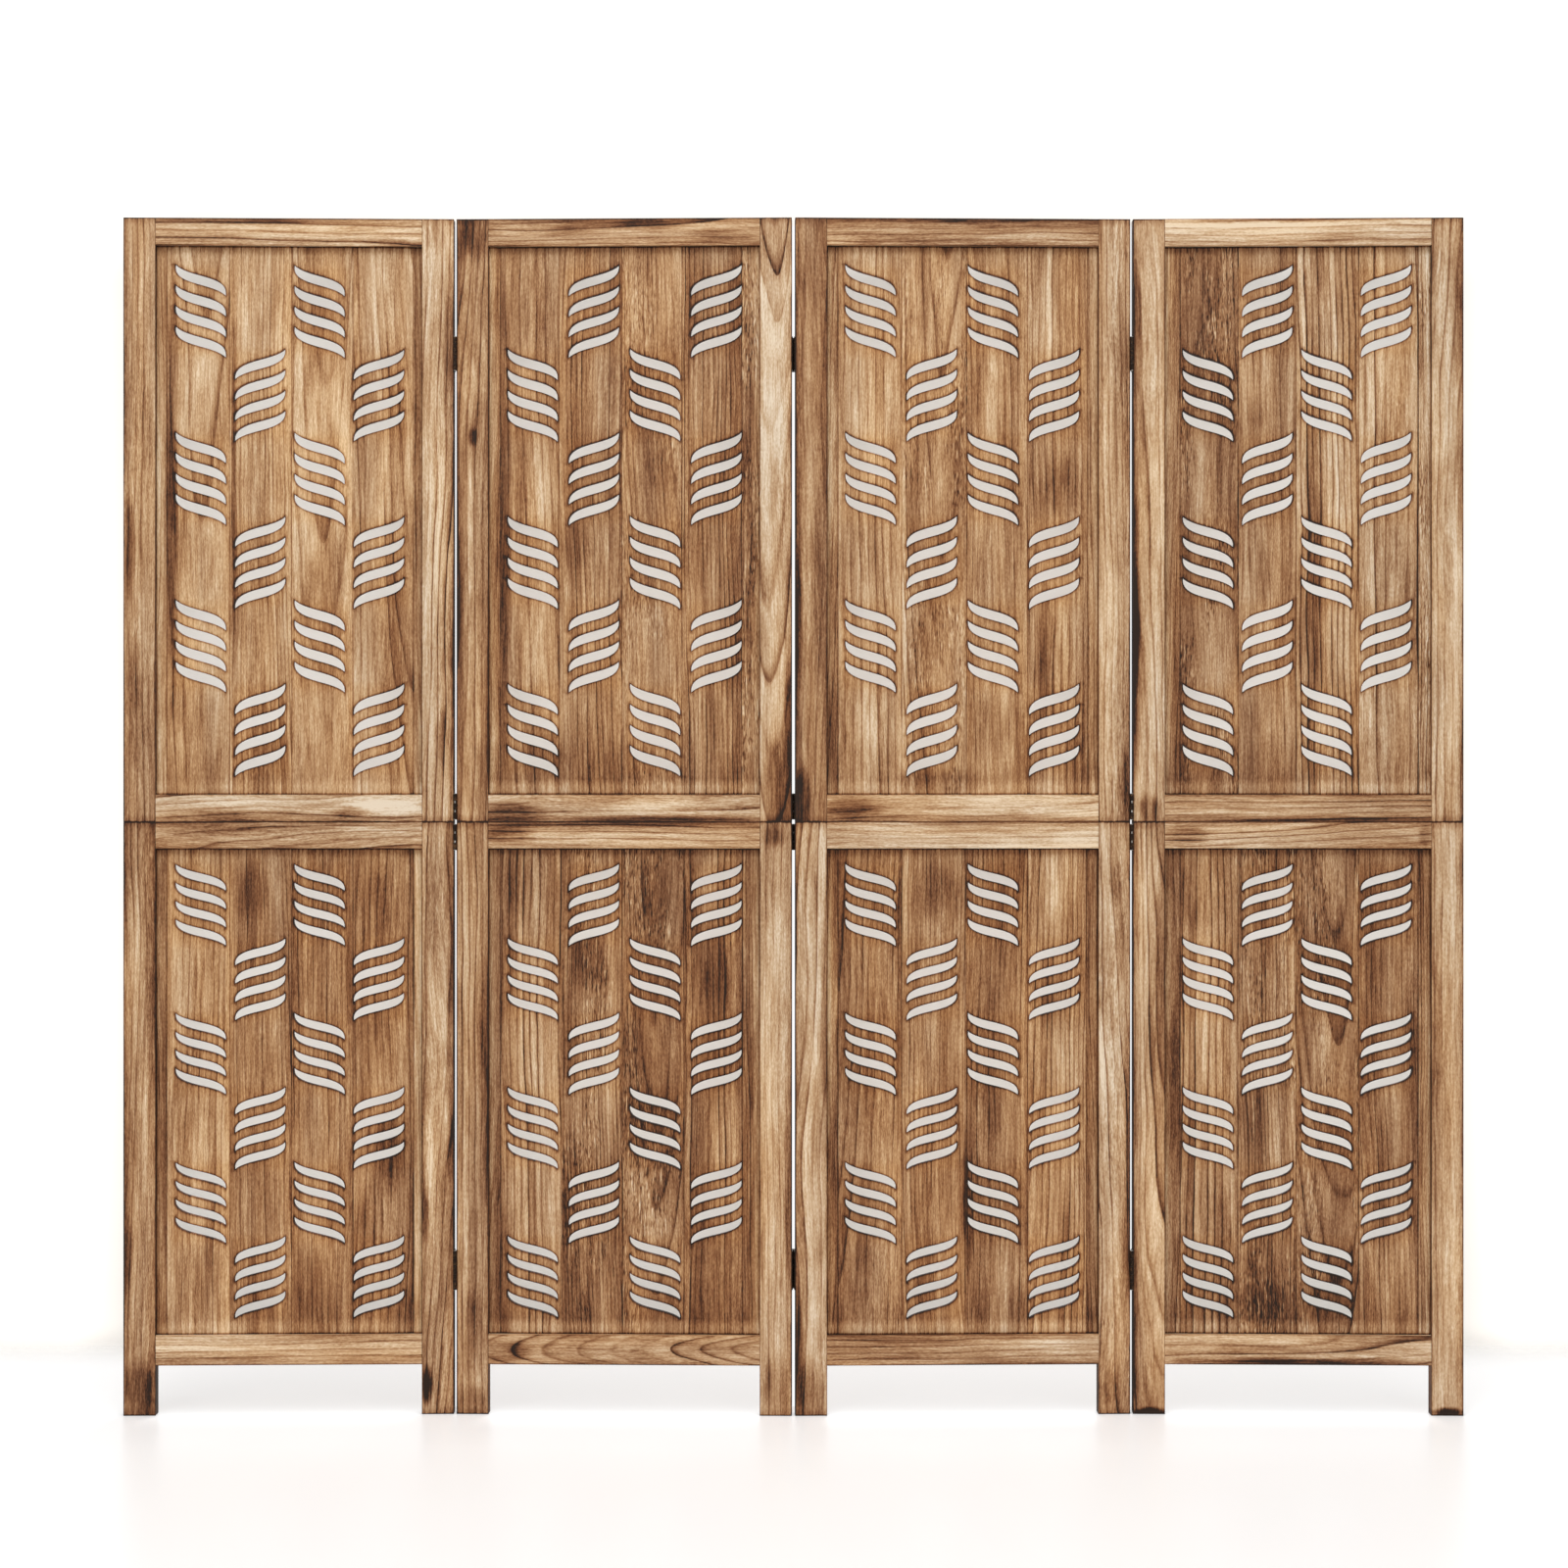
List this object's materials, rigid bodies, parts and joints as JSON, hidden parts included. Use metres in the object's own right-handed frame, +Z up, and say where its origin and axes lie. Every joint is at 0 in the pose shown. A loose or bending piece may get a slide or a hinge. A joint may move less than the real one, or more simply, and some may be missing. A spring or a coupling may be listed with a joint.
{
  "type": "folding screen",
  "caption": "Free-standing wooden folding screen: framed leaves in two stacked tiers, thin panels pierced with curved slanting slots, joined by butt hinges that fold alternately.",
  "frame": {"origin": "on the floor, at the middle of the standing screen's width and depth", "axes": "+Z up, +X along the row of leaves to the right of someone facing the front, front towards -Y"},
  "size_m": [2.014, 0.0352, 1.8],
  "materials": {
    "frame_wood": "torched and brushed, then a thin satin lacquer",
    "panel_wood": "torched and brushed, slot edges burnt dark, thin satin lacquer",
    "dowel_wood": "plain, unfinished",
    "hinge_bronze": "dark antique, satin",
    "screw_bronze": "dark antique, satin",
    "pin_steel": "bright drawn"
  },
  "bodies": {
    "leaf_1": {"leaf_1_upper_left_stile": "frame_wood", "leaf_1_upper_right_stile": "frame_wood", "leaf_1_upper_top_rail": "frame_wood", "leaf_1_upper_bottom_rail": "frame_wood", "leaf_1_upper_panel": "panel_wood", "leaf_1_lower_left_stile": "frame_wood", "leaf_1_lower_right_stile": "frame_wood", "leaf_1_lower_top_rail": "frame_wood", "leaf_1_lower_bottom_rail": "frame_wood", "leaf_1_lower_panel": "panel_wood", "leaf_1_dowels": "dowel_wood", "fold_1_left_plates": "hinge_bronze", "fold_1_pins": "pin_steel", "fold_1_left_screws": "screw_bronze"},
    "leaf_2": {"leaf_2_upper_left_stile": "frame_wood", "leaf_2_upper_right_stile": "frame_wood", "leaf_2_upper_top_rail": "frame_wood", "leaf_2_upper_bottom_rail": "frame_wood", "leaf_2_upper_panel": "panel_wood", "leaf_2_lower_left_stile": "frame_wood", "leaf_2_lower_right_stile": "frame_wood", "leaf_2_lower_top_rail": "frame_wood", "leaf_2_lower_bottom_rail": "frame_wood", "leaf_2_lower_panel": "panel_wood", "leaf_2_dowels": "dowel_wood", "fold_2_left_plates": "hinge_bronze", "fold_2_pins": "pin_steel", "fold_2_left_screws": "screw_bronze", "fold_1_right_plates": "hinge_bronze", "fold_1_right_screws": "screw_bronze"},
    "leaf_3": {"leaf_3_upper_left_stile": "frame_wood", "leaf_3_upper_right_stile": "frame_wood", "leaf_3_upper_top_rail": "frame_wood", "leaf_3_upper_bottom_rail": "frame_wood", "leaf_3_upper_panel": "panel_wood", "leaf_3_lower_left_stile": "frame_wood", "leaf_3_lower_right_stile": "frame_wood", "leaf_3_lower_top_rail": "frame_wood", "leaf_3_lower_bottom_rail": "frame_wood", "leaf_3_lower_panel": "panel_wood", "leaf_3_dowels": "dowel_wood", "fold_3_left_plates": "hinge_bronze", "fold_3_pins": "pin_steel", "fold_3_left_screws": "screw_bronze", "fold_2_right_plates": "hinge_bronze", "fold_2_right_screws": "screw_bronze"},
    "leaf_4": {"leaf_4_upper_left_stile": "frame_wood", "leaf_4_upper_right_stile": "frame_wood", "leaf_4_upper_top_rail": "frame_wood", "leaf_4_upper_bottom_rail": "frame_wood", "leaf_4_upper_panel": "panel_wood", "leaf_4_lower_left_stile": "frame_wood", "leaf_4_lower_right_stile": "frame_wood", "leaf_4_lower_top_rail": "frame_wood", "leaf_4_lower_bottom_rail": "frame_wood", "leaf_4_lower_panel": "panel_wood", "leaf_4_dowels": "dowel_wood", "fold_3_right_plates": "hinge_bronze", "fold_3_right_screws": "screw_bronze"}
  },
  "joints": [
    {"name": "fold_1", "type": "hinge", "parent": "leaf_2", "child": "leaf_1", "pos_m": [-0.50956, -0.00733, 0.9], "axis": [0, 0, 1], "range_deg": [-3, 177]},
    {"name": "fold_2", "type": "hinge", "parent": "leaf_2", "child": "leaf_3", "pos_m": [0, 0.00733, 0.9], "axis": [0, 0, 1], "range_deg": [-3, 177]},
    {"name": "fold_3", "type": "hinge", "parent": "leaf_3", "child": "leaf_4", "pos_m": [0.50956, -0.00733, 0.9], "axis": [0, 0, 1], "range_deg": [-177, 3]}
  ]
}
